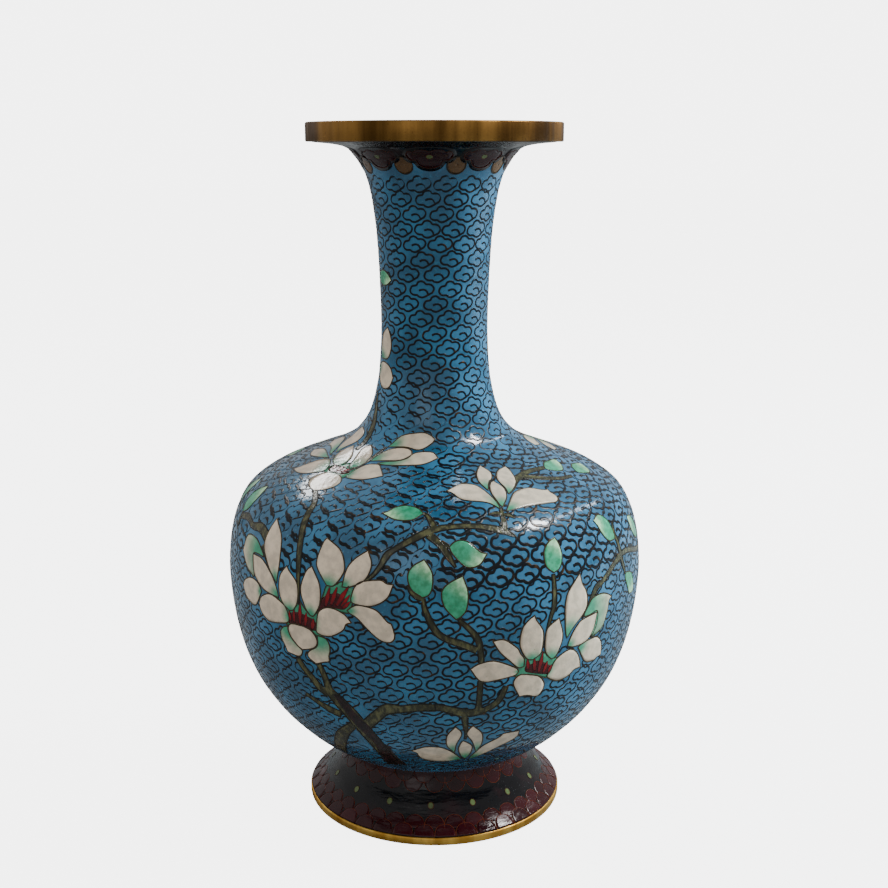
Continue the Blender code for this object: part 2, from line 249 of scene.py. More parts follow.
def pad(builder, wall, left, right, lift, color):
    """A thin closed cell of enamel between two lines of (angle, distance)."""
    n, m = len(left), 9
    t = np.linspace(0, 1, m)[None, :, None]
    grid = left[:, None] * (1 - t) + right[:, None] * t
    upper = wall(grid[..., 0], grid[..., 1], lift)
    lower = wall(grid[..., 0], grid[..., 1], CELL_ROOT)
    tint = color(np.linspace(0, 1, n)[:, None] + 0 * t[..., 0], t[..., 0] + np.zeros((n, 1)))
    index = np.arange(n * m).reshape(n, m)
    a, b, c, d = index[:-1, :-1], index[:-1, 1:], index[1:, 1:], index[1:, :-1]
    top = np.stack([a, b, c, d], -1).reshape(-1, 4)
    under = top[:, ::-1] + n * m
    edge = np.concatenate([index[0, :-1], index[:-1, -1], index[-1, :0:-1], index[:0:-1, 0]])
    nxt = np.roll(edge, -1)
    rim = np.stack([nxt, edge, edge + n * m, nxt + n * m], -1)
    verts = np.concatenate([upper.reshape(-1, 3), lower.reshape(-1, 3)])
    builder.add(verts, np.vstack([top, under, rim]), np.concatenate([tint.reshape(-1, 3)] * 2))


def blob(builder, wall, outline, lift, color):
    """A thin closed cell that spreads from the middle of a rounded outline."""
    middle = outline.mean(0)
    rings = [middle + (outline - middle) * share for share in (1, 0.75, 0.5, 0.25, 0.002)]
    layers = [wall(ring[:, 0], ring[:, 1], lift) for ring in rings]
    layers += [wall(ring[:, 0], ring[:, 1], CELL_ROOT) for ring in rings[::-1]]
    n, m = len(outline), len(layers)
    i, j = np.meshgrid(np.arange(m), np.arange(n), indexing="ij")
    i2, j2 = (i + 1) % m, (j + 1) % n
    faces = np.stack([i * n + j, i * n + j2, i2 * n + j2, i2 * n + j], -1).reshape(-1, 4)
    builder.add(np.vstack(layers), faces, color)


def even(line, count):
    """A line with its points spread evenly."""
    d = np.concatenate([[0], np.cumsum(np.hypot(*np.diff(line, axis=0).T))])
    want = np.linspace(0, d[-1], count)
    return np.stack([np.interp(want, d, line[:, k]) for k in (0, 1)], -1)


def sides(patch, points, tip):
    """The two sides of a cell, each from its base to its tip."""
    left = spline(points[:tip + 1])
    right = spline(points[tip:] + points[:1])[::-1]
    count = max(len(left), len(right))
    return patch(even(left, count)), patch(even(right, count))


def ribbon(patch, centre, widths):
    """The two edges of a strip along a centre line whose width varies."""
    line = spline(centre, step=0.5)
    reach = np.concatenate([[0], np.cumsum(np.hypot(*np.diff(line, axis=0).T))])
    knots = np.concatenate([[0], np.cumsum(np.hypot(*np.diff(np.array(centre, float), axis=0).T))])
    width = np.interp(reach / reach[-1], knots / knots[-1], widths)
    along = np.gradient(line, axis=0)
    along /= np.hypot(*along.T)[:, None]
    side = np.stack([-along[:, 1], along[:, 0]], -1) * (width / 2)[:, None]
    return patch(line + side), patch(line - side)


def filament(patch, base, tip, width):
    """The two edges of a stamen, widest halfway."""
    middle = ((base[0] + tip[0]) / 2, (base[1] + tip[1]) / 2)
    return ribbon(patch, [base, middle, tip], [width * 0.6, width, 0.3])


def loop(left, right):
    """Closed outline of the cell between two sides."""
    return np.vstack([left, right[::-1][1:-1] if np.allclose(left[0], right[0]) else right[::-1]])


def turn_by(line, turn):
    return line + np.array([turn, 0.0])


def outside(points, outlines):
    """Which points lie in none of the outlines."""
    free = np.ones(len(points), bool)
    for outline in outlines:
        free &= ~inside(points, outline)
    return free


def disc(count, wide=1.0, high=1.0):
    turn = np.arange(count) * 2 * math.pi / count
    return np.stack([np.cos(turn) * wide, np.sin(turn) * high], -1)


# ---------------------------------------------------------------- colours
# For vertex colours.
CREAM = np.array(srgb(200, 184, 162))
GREEN = np.array(srgb(62, 140, 108))
DEEP = np.array(srgb(48, 142, 104))
PALE = np.array(srgb(162, 208, 160))
BARK = np.array(srgb(70, 70, 46))
PLUM = np.array(srgb(34, 16, 18))
RED = np.array(srgb(122, 9, 17))
NAVY = np.array(srgb(5, 11, 17))
OUTLINE = np.array(srgb(46, 36, 18))
EDGE = np.array(srgb(22, 20, 14))
UMBER = np.array(srgb(40, 28, 12))
BLACK = np.array(srgb(7, 6, 8))
MAROON = np.array(srgb(36, 5, 8))
OCHRE = np.array(srgb(84, 60, 34))
DOT = np.array(srgb(80, 92, 54))
RUST = np.array(srgb(84, 32, 10))
# For materials.
BLUE_LOW = srgb(36, 78, 104)
BLUE_HIGH = srgb(50, 105, 138)
BLUE_MILK = srgb(72, 134, 162)
LINING_LOW = srgb(28, 84, 96)
LINING_HIGH = srgb(48, 122, 132)
# Gold of the wire patches, partly worn brass and partly painted glints.
GOLD = srgb(120, 84, 36)
SMOKE = srgb(34, 8, 12)


def ramp(t, a, b, low, high):
    """Colours eased from one to another between two levels."""
    w = np.clip((t - low) / (high - low), 0, 1)
    w = (w * w * (3 - 2 * w))[..., None]
    return a * (1 - w) + b * w


# Tints take the way along a cell, from its base, and the way across, both from 0 to 1.
def petal_tint(reach):
    def tint(t, w):
        edge = 0.12 * np.abs(w - 0.5)
        return ramp(t + edge, GREEN, CREAM, reach * 0.3, reach * 1.1)
    return tint


def leaf_tint(t, w):
    return ramp(t + 0.25 * (w - 0.5), DEEP, PALE, 0.45, 0.95)


def stamen_tint(t, w):
    return ramp(t, RED * 0.6, RED, 0.1, 0.6)


def plain_tint(color):
    return lambda t, w: color + 0 * t[..., None]


# ---------------------------------------------------------------- outlines of the cells
# Patches of the wall that hold the cells.  Each outline starts at its base; the place of its
# tip in the list is given, and for a petal how far the green reaches from the base.
A = Patch(-30, 93.6)
B = Patch(34, 84.5)
C = Patch(-48, 145.7)
D = Patch(24, 132.2)
E = Patch(8, 57.4)
F = Patch(0, 104.7)
G = Patch(60, 108.9)
H = Patch(-20, 64.0)

PETALS = {
    "left_blossom": (A, [
        (0.34, 5, [(-10, -2.2), (-12.4, -0.8), (-13.9, 1.7), (-14.3, 4.2), (-13.7, 7.1), (-11.6, 9.8),
            (-10.9, 8.9), (-7.4, 5.8), (-7, 1.2), (-8.4, -1.6)]),
        (0.34, 4, [(-2.6, -2), (-4.3, 0), (-6, 4.6), (-4.5, 9.6), (-2.8, 11.3), (0.2, 6.7), (0.5, 1.7),
            (-1.4, -1.9)]),
        (0.3, 4, [(-0.6, -4), (0.3, -0.4), (3.4, 1.2), (7.6, 0.2), (10, -2), (8.4, -2.7), (7.4, -4.6),
            (3.4, -6.9), (-0.5, -6.6)]),
        (0.1, 6, [(-5.2, -5.7), (-8.7, -5.8), (-10.3, -6.4), (-10.8, -8), (-9.9, -10), (-7.8, -11.9),
            (-6.2, -12.8), (-3.2, -11.9), (-1.4, -10.8), (-0.8, -9.2), (-1.4, -7.6), (-3, -6.2)]),
        (0.75, 5, [(-11, -7), (-12.8, -7.7), (-14.1, -9.2), (-14, -11.3), (-13, -12.9), (-12.1, -15),
            (-8.3, -15.3), (-7, -14.8), (-6.3, -13.2), (-7.8, -12.1), (-10, -10.2), (-11, -8.2)]),
        (0.75, 5, [(-0.6, -7.4), (-0.6, -9.4), (-1.2, -10.9), (-4, -12.9), (-4.3, -14.6), (-1.9, -16.1),
            (0.9, -15), (2.5, -14.5), (2.6, -12.9), (3.1, -11.2), (3, -9.2), (1.8, -7.7)]),
        (0.3, 5, [(-10.3, -4.2), (-11.2, -2.1), (-12.8, -0.8), (-17.8, 0.5), (-22, -1.2), (-23.5, -3.5),
            (-22.6, -5.7), (-20.7, -7.1), (-18.2, -7.6), (-12.5, -6.5), (-10.6, -5.6)]),
        (0.34, 4, [(-14.2, 0.4), (-15.2, 2.9), (-17.8, 6.2), (-22.4, 9.1), (-27.5, 9.4), (-26.6, 5.4),
            (-25.1, 3.3), (-20.7, 1)]),
        (0.3, 5, [(-15.2, 4.2), (-19.1, 7.9), (-22, 12.1), (-22.3, 14.6), (-21.4, 17.5), (-19.6, 21.1),
            (-15.5, 16.7), (-14.6, 10.4)]),
        (0.95, 7, [(-22, 9.8), (-24.9, 10), (-27.4, 9.6), (-27.5, 7.9), (-26.2, 3.4), (-28, 3.7),
            (-30.8, 4.9), (-34.6, 8.6), (-32.6, 13.4), (-27, 13.7), (-22.7, 11)]),
        (0.3, 5, [(-22, 0.2), (-23.7, 1.9), (-26.2, 2.6), (-29.1, 2.3), (-32, 0.8), (-33.4, -1.2),
            (-31.2, -3.8), (-28.7, -4.8), (-26.2, -5), (-24.5, -3.8)]),
    ]),
    "middle_blossom": (A, [
        (0.36, 4, [(2.4, 7), (-1, 11.2), (-1.4, 13.8), (-0.5, 18), (0.3, 19.4), (5.1, 16.7), (7.1, 12.9),
            (6.8, 10.4), (4.6, 7.3)]),
        (0.34, 4, [(7, 7.3), (7.6, 11.2), (8.4, 13.3), (10.1, 15.4), (12.8, 17.5), (14.5, 13.8),
            (13.2, 9.8), (9.2, 7.5)]),
        (0.26, 5, [(9.7, 4.6), (10.5, 7.4), (12.2, 9.2), (17.2, 10.1), (19.2, 9.3), (21, 9.2), (19.5, 5.4),
            (15.5, 3.1), (10.4, 3.3)]),
        (0.26, 6, [(8.8, 1.2), (10.1, 2.3), (12.2, 3), (16.8, 2.1), (19.9, -0.8), (21, -1.4), (21.8, -4.2),
            (21.5, -5.6), (20.3, -6.5), (18.2, -6.2), (15.9, -4.6), (11.7, -0.6), (9.7, 0.4)]),
    ]),
    "right_blossom": (B, [
        (0.16, 5, [(-12.8, -7.3), (-13.8, -6), (-18.9, -3.5), (-21.7, -3.1), (-24.6, -3.8), (-26.4, -5),
            (-23.9, -8.4), (-21.7, -9.3), (-18.9, -9.1), (-13.9, -8.3)]),
        (0.34, 6, [(-11.4, -6), (-11.6, -3.6), (-12.8, -2), (-13.9, -0.2), (-17.1, 2.4), (-18.9, 2.9),
            (-20.9, 2.6), (-18.7, -0.8), (-15.3, -4.1), (-13.2, -6)]),
        (0.34, 5, [(-9, -4.4), (-11, -3.6), (-13.2, 0.5), (-12.8, 5.1), (-11, 7.3), (-9.2, 8.4), (-8.7, 7),
            (-6.4, 3.4), (-6.3, -1.3), (-6.9, -3.2)]),
        (0.4, 5, [(-2.9, -5.4), (-4.7, -3.6), (-5.5, -1.3), (-5.5, 3), (-4.4, 4.7), (-1.4, 6.3),
            (0.2, 0.9), (-0.8, -3.4), (-1.8, -5)]),
        (0.42, 5, [(1.7, -0.2), (1, 2.3), (0.5, 7.6), (0.9, 10.9), (2.2, 13.4), (6.3, 17.1), (7, 14.1),
            (8.3, 11.9), (8.8, 9.4), (8.5, 7.3), (7.2, 5.5), (3.6, 2.3)]),
        (1.1, 6, [(7.8, 4.6), (7.9, 5.6), (10.4, 8.7), (12.6, 9.4), (15.1, 9.4), (17.6, 8.7), (20.2, 7.3),
            (18.8, 6.4), (18.3, 3.7), (16.1, -0.9), (11.6, -2.4), (12.7, -0.6), (13.5, 1.6), (13.3, 4.9),
            (9.7, 4.6)]),
        (0.3, 4, [(2.2, -2.7), (3.3, 0.1), (5.1, 2.6), (7.2, 3.9), (13.2, 4.6), (12.2, 0.1), (9.4, -3.1),
            (4.7, -3.5)]),
        (0.3, 4, [(-2.8, -9.2), (-1.2, -5.8), (3.3, -4), (6.7, -6.3), (8.7, -10.9), (6.1, -11.1),
            (4.4, -12.4), (0.4, -13.1), (-3.4, -10.9)]),
        (0.4, 6, [(6.4, -4.2), (8, -3.4), (12.6, -2.9), (14.7, -3.4), (16.3, -4.9), (17.3, -7),
            (17.7, -10), (15.8, -10), (14, -10.6), (10.1, -9.5)]),
        (0.16, 3, [(-9.9, -8.7), (-12.4, -8.5), (-13.8, -10.8), (-11.2, -15.6), (-8.9, -15.6),
            (-5.3, -16.6), (-3.9, -13.4), (-6, -10.2)]),
    ]),
    "top_blossom": (D, [
        (0.4, 5, [(-2.5, -9), (-2.8, -3.8), (-4.7, 2), (-8, 3.4), (-10, 2.8), (-13.9, 0.3), (-12.7, -0.6),
            (-11.3, -3.7), (-6, -5.3), (-4.3, -6.4)]),
        (0.5, 3, [(-2.6, -0.5), (-3.4, 4), (-2.3, 8), (0.2, 11.4), (1.8, 7.7), (0.8, 4.7), (-0.7, 3.3)]),
        (0.5, 4, [(-1.8, -8.2), (-2.2, -6), (-2.2, -1.3), (-0.7, 2.4), (0.8, 3.6), (2.2, 0), (1.3, -4)]),
        (0.4, 4, [(2.3, -3), (2.7, -0.3), (2.2, 4), (4, 7.7), (7.6, 9.3), (8.1, 7), (7.5, 2.3),
            (4.7, -1.3)]),
        (0.32, 5, [(-1.3, -9.6), (2.7, -4.3), (5, -2.4), (9.3, -1.8), (13.7, -4), (15.4, -4.2),
            (15.6, -5.7), (16.6, -7.3), (16.5, -8.7), (15.2, -9.5), (12, -9.2), (5.3, -8.9)]),
    ]),
    "shoulder_blossom": (C, [
        (0.35, 4, [(-10.3, -2.4), (-12.4, -1), (-13.8, 1), (-14.2, 3.8), (-12.6, 7.6), (-10.6, 8.8),
            (-6.8, 7.6), (-7.1, 4.4), (-9.8, 0.6)]),
        (0.6, 5, [(-3.4, -6.9), (-6.7, -5.5), (-8.5, -3.6), (-9, -1.5), (-8.2, 0.8), (-6.5, 2.7),
            (-2.8, -0.3), (-1.5, -2.1), (-1, -4.2), (-1.6, -6)]),
        (0.55, 4, [(2.6, -6.4), (1.1, -4.3), (-1.4, 1.5), (-1, 3.4), (0.3, 4.8), (3.8, 1.5), (4.9, -2.4),
            (4.4, -4.9)]),
        (0.35, 6, [(5.2, -9.6), (5.2, -6.7), (5.8, -4), (7.2, -2.7), (9.4, -2.4), (11.1, -3.5),
            (15.2, -7.4), (11.1, -10.2), (6.2, -10.6)]),
        (0.45, 6, [(-4.4, -9.8), (-5.2, -8), (-6.9, -6.3), (-8.9, -5.6), (-11.4, -6.7), (-13.9, -9),
            (-17.8, -15.2), (-13.6, -15.2), (-9.5, -14), (-5, -11)]),
        (0.3, 6, [(0.4, -9.9), (-2.4, -10.6), (-4.3, -12.4), (-4.9, -14.6), (-3.6, -16.8), (-1, -18.2),
            (1.6, -18.9), (4.2, -17.8), (6, -15.8), (6.2, -13.4), (4.8, -11.4), (2.6, -10.2)]),
        (0.6, 4, [(-11.4, -4), (-15.5, 1.2), (-18.4, 2.3), (-22, 1.4), (-26, -1.6), (-23, -3),
            (-19.5, -2.4), (-16, -2.6), (-13.6, -3.6)]),
        (0.6, 3, [(-10, -5.2), (-17, -4.2), (-22, -5), (-26.5, -7.8), (-23, -8.9), (-19, -8.2)]),
    ]),
    "shoulder_bud": (C, [
        (0.45, 5, [(6.4, 5.2), (7.6, 8.4), (9.2, 9.8), (13.6, 10.7), (16.1, 10.1), (18.2, 8.8),
            (18.1, 7.4), (16, 5.1), (11.5, 5.8)]),
        (0.5, 6, [(5.7, -1.5), (6, 1.5), (7.2, 4), (9.4, 5.2), (11.9, 5.4), (14, 4.7), (15.2, 3.3),
            (14.9, 1.9), (13.6, 0.4), (9.7, -0.4)]),
        (0.62, 6, [(8.6, -1.9), (11, -0.7), (13.4, 0), (15.2, 1.4), (15.8, 3.9), (20.1, 4.3), (23.5, 2),
            (21.9, -0.3), (19.7, -1.2), (11.5, -2.2)]),
    ]),
    "low_bud": (E, [
        (0.5, 3, [(-1.2, -10), (-3.6, -6), (-4, -1), (-2, 2.8), (-0.1, -0.3), (-1.1, -5.3)]),
        (0.5, 4, [(4.9, -10.7), (3.2, -4.6), (1.4, -1), (1.7, 1.1), (2.8, 2.8), (5.6, -1), (6, -6)]),
        (0.55, 4, [(2.2, -14.4), (0.8, -12.4), (-0.3, -8.1), (0.1, -4.8), (0.6, -3.8), (2.2, -5.2),
            (3.5, -7.4), (3.2, -12.2)]),
        (0.34, 5, [(1.2, -14.6), (-1.6, -10), (-4.6, -7.2), (-7, -6.5), (-10, -6.8), (-13.2, -9),
            (-11.6, -10.2), (-10.9, -12.2), (-9.6, -14), (-7.4, -15.4), (-4, -16), (-1, -15.6)]),
        (0.34, 6, [(3.4, -14.8), (4.4, -11.6), (6.6, -7.4), (10.4, -4.4), (11.4, -3.4), (12.2, -2.5),
            (16.9, -2.6), (16.6, -5.2), (14.6, -7.3), (11.6, -9.2), (5, -14.4)]),
    ]),
}

# Leaves: patch, place of the tip, outline from the base.
LEAVES = {
    "leaf_middle": (F, 4, [
        (-3.1, -5), (-6, -2.9), (-6.9, 0.5), (-5.6, 3), (-2.6, 4.8), (-0.6, 1.4), (-0.6, -2.5),
            (-1.6, -4.4)]),
    "leaf_upright": (F, 4, [
        (5.6, -10.9), (2.6, -7.5), (1.9, -3.6), (3.6, -1.4), (7.3, 0.5), (8.7, -3.9), (8.4, -8),
            (7.2, -9.9)]),
    "leaf_hanging": (F, 5, [
        (3.8, 8), (5.1, 9.3), (6.9, 9.8), (9, 9.1), (11.9, 6.5), (13.8, 5.9), (11.7, 3.1), (8.3, 2.7),
            (5, 5.8)]),
    "leaf_upper_left": (F, 6, [
        (-2.8, 18.4), (-4, 20), (-6, 21), (-8.5, 21.1), (-10.8, 20), (-12.4, 18.6), (-13.9, 17.8),
            (-10.3, 15.9), (-6, 16)]),
    "leaf_right": (B, 5, [
        (-2.6, 18.9), (-4.6, 20.6), (-5, 22.8), (-4.4, 25.2), (-2.6, 27), (-0.2, 28), (0.6, 26),
            (0.9, 23.6), (0.4, 21.2), (-0.8, 19.6)]),
    "leaf_far_right": (G, 4, [
        (-2.8, -2), (-2.4, -0.4), (-3.1, 3.5), (-6, 6.1), (-9.6, 5), (-8.8, 3.1), (-8.3, 1), (-7.2, -0.8),
            (-5.6, -1.9)]),
    "leaf_low_right": (G, 4, [
        (1, -13.4), (2.6, -13), (6.6, -14.5), (8.8, -18.6), (8.8, -20.4), (6.6, -20.5), (4.8, -20),
            (3.4, -18.3), (1.2, -14.8)]),
    "leaf_edge_right": (G, 4, [
        (19.1, -6.4), (18.8, -4.8), (15.9, -0.4), (12.4, 0.9), (10.8, 0.8), (12, -3.8), (16, -6.7)]),
    "leaf_shoulder_end": (G, 5, [
        (7.5, 20.4), (8.4, 22), (10.1, 23.1), (12.3, 23.3), (16, 21.8), (17.2, 20.8), (16.2, 19),
            (14.4, 17.7), (12.3, 17.8), (8.4, 19.5)]),
    "leaf_shoulder": (G, 4, [
        (-2.4, 26.8), (-0.8, 28.4), (1.6, 29.4), (6.4, 28.8), (8.2, 27.8), (6.2, 25.4), (4.4, 24.2),
            (2.4, 23.9), (0, 24.8)]),
    "leaf_left": (Patch(-70, 116), 4, [
        (-2, -5), (-3.6, -2), (-3.4, 1.4), (-1.6, 4), (0.6, 5.6), (2, 3), (2.6, 0), (1.6, -3)]),
    "leaf_left_edge": (Patch(-82, 116), 4, [
        (0, -5), (-2.2, -2.4), (-2.6, 0.8), (-1.4, 3.4), (0.4, 5), (2, 2.4), (2.4, -0.6), (1.4, -3.4)]),
    "leaf_neck": (Patch(-62, 182), 4, [
        (-5, 17.5), (-3, 19.2), (-0.5, 19.6), (1.8, 18.6), (3.4, 17), (1.5, 15.7), (-1, 15.2),
            (-3.4, 15.9)]),
}
NECK_PETALS = (Patch(-62, 182), [
    (0.45, 4, [(-3, -6), (-3.8, -3), (-3, 0), (-1.4, 2), (0.8, 3.4), (2.4, 0.6), (2.7, -2.6), (1, -5.6)]),
    (0.35, 4, [(-5, -8.4), (-2.6, -7), (0.4, -7), (2.8, -8.2), (4.4, -10.8), (3.2, -13.6), (0.4, -14.4),
        (-3, -12.6)]),
    (0.35, 3, [(-6, -9), (-8, -3), (-9, -1), (-10.4, 0), (-10.8, -3), (-10, -6.4), (-8, -9)]),
])

# Branches: patch, centre line, width at each point.
BRANCHES = {
    "low_branch": [
        (H, [(3.4, -27), (2.6, -20), (1.4, -14), (-0.6, -8), (-3.4, -2), (-6.6, 2.4), (-9, 5.2), (-9.6, 8),
            (-10.4, 11), (-11.6, 13.6)],
         [4.4, 4.4, 4.4, 4.6, 4.6, 4.2, 3, 1.9, 1.7, 1.7]),
        (H, [(-14.6, -26), (-9.4, -13), (-4, -6)],
         [4.2, 3.7, 2.4]),
        (H, [(-18, 2), (-11, -1.2), (-7, -2.6)],
         [1, 2.2, 2.6]),
        (H, [(-9.6, 4), (-12.4, 6), (-14.6, 8.6), (-17, 11), (-18.8, 13.6)],
         [2.2, 2.3, 2, 1.8, 1.9]),
        (H, [(-0.2, -5.6), (5.6, 0.9), (8.2, 2.4), (11.4, 2.6), (15.6, 3.4), (20.4, 3.5)],
         [3.2, 3.1, 3.5, 2.3, 2.4, 2.4]),
        (E, [(-11.4, 10.3), (-6.4, 10), (-0.3, 8), (2.8, 7.8), (5.6, 8.5), (8.3, 10.2), (9.8, 12.2),
            (11, 15.6)],
         [2.2, 2, 2.8, 2.4, 1.9, 1.8, 1.7, 1.5]),
        (E, [(0, 8), (1.1, -0.3), (1.1, -3)],
         [2, 0.7, 0.5]),
        (E, [(3.6, 8.4), (3.8, 11), (3.9, 22), (3.6, 27), (2.4, 31.4), (-2.2, 36.4)],
         [1.8, 1.3, 1.4, 1.4, 1.5, 0.9]),
        (F, [(11.2, -19.8), (6.9, -17.7), (3.2, -16.2), (0.4, -14), (-2.3, -8.6), (-2.9, -4.8)],
         [1.8, 1.8, 1.6, 1.6, 1.3, 0.7]),
        (F, [(-2.9, -5.6), (-4.6, -4.8), (-6, -3.6), (-7, -2)],
         [1, 1.3, 1, 0.4]),
    ],
    "middle_branch": [
        (F, [(-21.4, -3.6), (-16.7, -0.4), (-14.2, 2.5), (-12.6, 5.2), (-10.6, 7), (-1.4, 12.4),
            (4.4, 13.8), (11.5, 13.6), (17.9, 11.8), (21.6, 9.8)],
         [0.4, 0.8, 1.1, 1.6, 1.2, 2, 1.5, 1.5, 1.9, 0.5]),
        (F, [(-1.4, 11.4), (1.2, 9), (3.4, 6), (5.4, 2.8)],
         [2.2, 1.6, 1.6, 0.5]),
        (F, [(1.6, 9.2), (3, 8.5), (4, 8)],
         [1.2, 1, 0.7]),
        (F, [(0.2, 13.2), (-1.7, 17.4), (-2.9, 18.5)],
         [1.8, 1.1, 0.7]),
        (F, [(18.7, 11.6), (18.6, 14.6), (18, 19.4)],
         [1.8, 1.3, 0.8]),
        (F, [(18.3, 17), (16.4, 17.6), (14.4, 17.2)],
         [1, 1, 0.3]),
        (F, [(18.5, 16.8), (20.2, 16.4), (22, 15.2)],
         [1, 1, 0.3]),
        (D, [(2.5, -2.8), (4.7, -1), (7, 1.7), (9, 3.3), (14, 4.9), (22, 4.3)],
         [0.5, 0.9, 1.5, 2.2, 1.7, 1.2]),
        (D, [(10.6, 3.4), (22, -1.2), (30, -2.8)],
         [1.8, 1.3, 1]),
    ],
    "right_branch": [
        (B, [(7, 4.2), (9.5, 7.6), (12.6, 11.5), (15.4, 12.6), (22.2, 16), (26, 17.1)],
         [0.4, 1.1, 1.9, 1.4, 1.6, 1.7]),
        (G, [(-3.8, -7.3), (3.7, -7), (15, -9.7), (20, -9.4)],
         [1.5, 1.5, 1.4, 1.2]),
        (G, [(-0.6, -7), (-2, -1), (-1.4, 1.6), (-1, 2.8)],
         [1.6, 1.2, 1.1, 0.4]),
        (G, [(-1, -7.5), (0, -10), (1, -12.8)],
         [1.4, 1.2, 0.9]),
        (B, [(-5.6, -1.5), (-5.1, 3), (-4.2, 7), (-3, 10.6), (-2.8, 18.4)],
         [0.4, 0.7, 1, 1.4, 1]),
    ],
    "shoulder_branch": [
        (A, [(-6.4, 0.2), (-7.5, 12), (-9, 24), (-9.4, 29), (-12.5, 33.5), (-16, 36.5)],
         [0.4, 1.6, 1.9, 1.7, 1.4, 0.9]),
        (C, [(-3.4, 1.6), (-3.4, 6), (-4.4, 11), (-7.6, 20)],
         [1.4, 2, 2.2, 1]),
        (C, [(3.6, -8), (5, -3), (5.4, 2), (6, 5)],
         [0.6, 0.9, 0.9, 0.5]),
        (A, [(-22, 15.4), (-26, 17), (-31, 16.4), (-36, 17.6), (-42, 16.4)],
         [3, 2.6, 1.6, 1.8, 1.4]),
        (A, [(-23, 13), (-20.4, 9.8), (-18.5, 7.2)],
         [1.8, 1.2, 0.5]),
        (Patch(-70, 116), [(-2.2, -9), (-2, -7), (-2, -5)],
         [1.3, 1.2, 0.8]),
    ],
}

# Stamens: patch, (base, tip, width) of each filament, outline of the fill round them.
STAMENS = {
    "left_blossom": (A, [
        ((-9.6, -5.2), (-10.1, -2.3), 1), ((-8.3, -5.2), (-8.3, -1.5), 1.1),
            ((-6.2, -5.2), (-6, 0.7), 1.3), ((-4.4, -5.4), (-3.9, -1.6), 1.1),
            ((-2.2, -5.9), (-1.5, -2.8), 1.4)],
        [(-10.6, -5.9), (-10.6, -3.4), (-7, -2), (-3, -2.6), (-1, -3.4), (-0.8, -6), (-3.2, -6.1),
            (-6.2, -5.5), (-8.8, -5.7)]),
    "middle_blossom": (A, [
        ((2.4, 1.4), (3.4, 6.6), 1.3), ((4, 2), (5.6, 7), 1.3), ((5.6, 2), (9, 7.7), 1.4),
            ((7, 2), (9.4, 5.4), 1), ((7.4, 1.6), (9.6, 3.6), 1.2)],
        [(-1.2, -1), (1.4, 3.6), (5.4, 5.4), (7.6, 4.6), (8.6, 2.4), (7.6, 1.2), (3.4, 1.3), (1, 0.4)]),
    "right_blossom": (B, [
        ((-10, -7), (-10.6, -4), 1.1), ((-7.9, -8), (-8.5, -4.1), 1.2), ((-6.6, -8.8), (-6, -2.7), 1.3),
            ((-5, -9.3), (-4.2, -5.8), 1.1), ((-3.3, -9.6), (-2.6, -7.2), 1.2)],
        [(-10.8, -7.6), (-10.9, -6), (-9, -5.6), (-7, -5), (-3, -7.4), (-2.3, -9), (-3.4, -10),
            (-8.4, -8.6)]),
    "shoulder_blossom": (C, [
        ((-2, -8.6), (-3.4, -6.6), 1.4), ((0.2, -8.8), (0, -6.2), 1.4), ((2.2, -8.8), (3.2, -6.6), 1.4)],
        [(-4.2, -8.6), (-3, -7), (0, -6.4), (3, -6.8), (4.6, -8.4), (3, -9.6), (0.4, -9.6), (-2.6, -9.8)]),
}

# Green fill at the heart of each blossom, behind petals and stamens.
HEARTS = {
    "left_blossom": (A, [
        (-11.4, -6.6), (-11.2, -3), (-14.6, 0.4), (-12, -0.6), (-9.6, -2), (-7.6, -0.6), (-6.3, 1.4),
            (-5, 0), (-2.4, -2), (0, -0.4), (0.6, -4), (1, -7.2), (-0.6, -7.8), (-3, -6), (-8, -5.6)]),
    "middle_blossom": (A, [
        (-1.4, -1.4), (0.6, 2), (1.6, 5), (2.6, 7.4), (5, 7.6), (7, 8.6), (10.4, 7), (10.2, 3.2),
            (9.4, 0.6), (6.6, 0.6), (3, 1)]),
    "right_blossom": (B, [
        (-14, -8.6), (-13, -6.6), (-12.4, -3.6), (-10.6, -3.2), (-8.4, -4), (-6.4, -2.4), (-2.6, -5.2),
            (-1, -5.4), (-2.4, -9), (-3.6, -11), (-6, -10.2), (-10, -9)]),
    "shoulder_blossom": (C, [
        (-5, -9.4), (-4, -7), (-1.4, -5.6), (0.6, -4), (2, -6), (4.6, -4.6), (5.4, -8.6), (4.4, -11.6),
            (0.4, -10), (-3.6, -10.8)]),
}

# Dark side of the trunk: patch, place of the tip, outline from the base.
SHADOW = (H, 9, [(6.6, -27), (5, -16.6), (5.6, -14.6), (3.4, -12.6), (1.4, -6), (-1, -2.6), (-3, 0.6),
    (-3.5, 2.3), (-4.6, 2.6), (-5.4, 4.6), (-8, 4.6), (-6.6, 1.6), (-3, -6), (-0.6, -10.4), (0.8, -15),
    (0.6, -27)])

# A cloud scroll, its curl, and the rows they stand in.
CLOUD = [(-3.4, -0.3), (-2.9, 0.7), (-2.2, 0.95), (-1.55, 1.1), (-1.05, 1.95), (-0.05, 2.25),
         (0.7, 1.95), (1.2, 1.45), (2.2, 1.45), (2.95, 1.1), (3.4, 0.2), (2.95, -0.8), (2.2, -1.25),
         (1.2, -1.85), (0.2, -2.25), (-0.8, -2.05), (-1.3, -1.65), (-2.4, -1.6), (-3.2, -1.05)]
CURL = [(-0.8, -0.4), (-0.05, -0.1), (0.8, -0.1), (1.45, -0.55), (1.75, -1.3)]
ROW, PITCH = 4.15, 7.9
SHOULDER = (102.0, 149.0)            # stretch of the wall where the scrolls are larger
SHOULDER_ROW, SHOULDER_SIZE, SHOULDER_RISE = 4.7, 1.08, 1.14


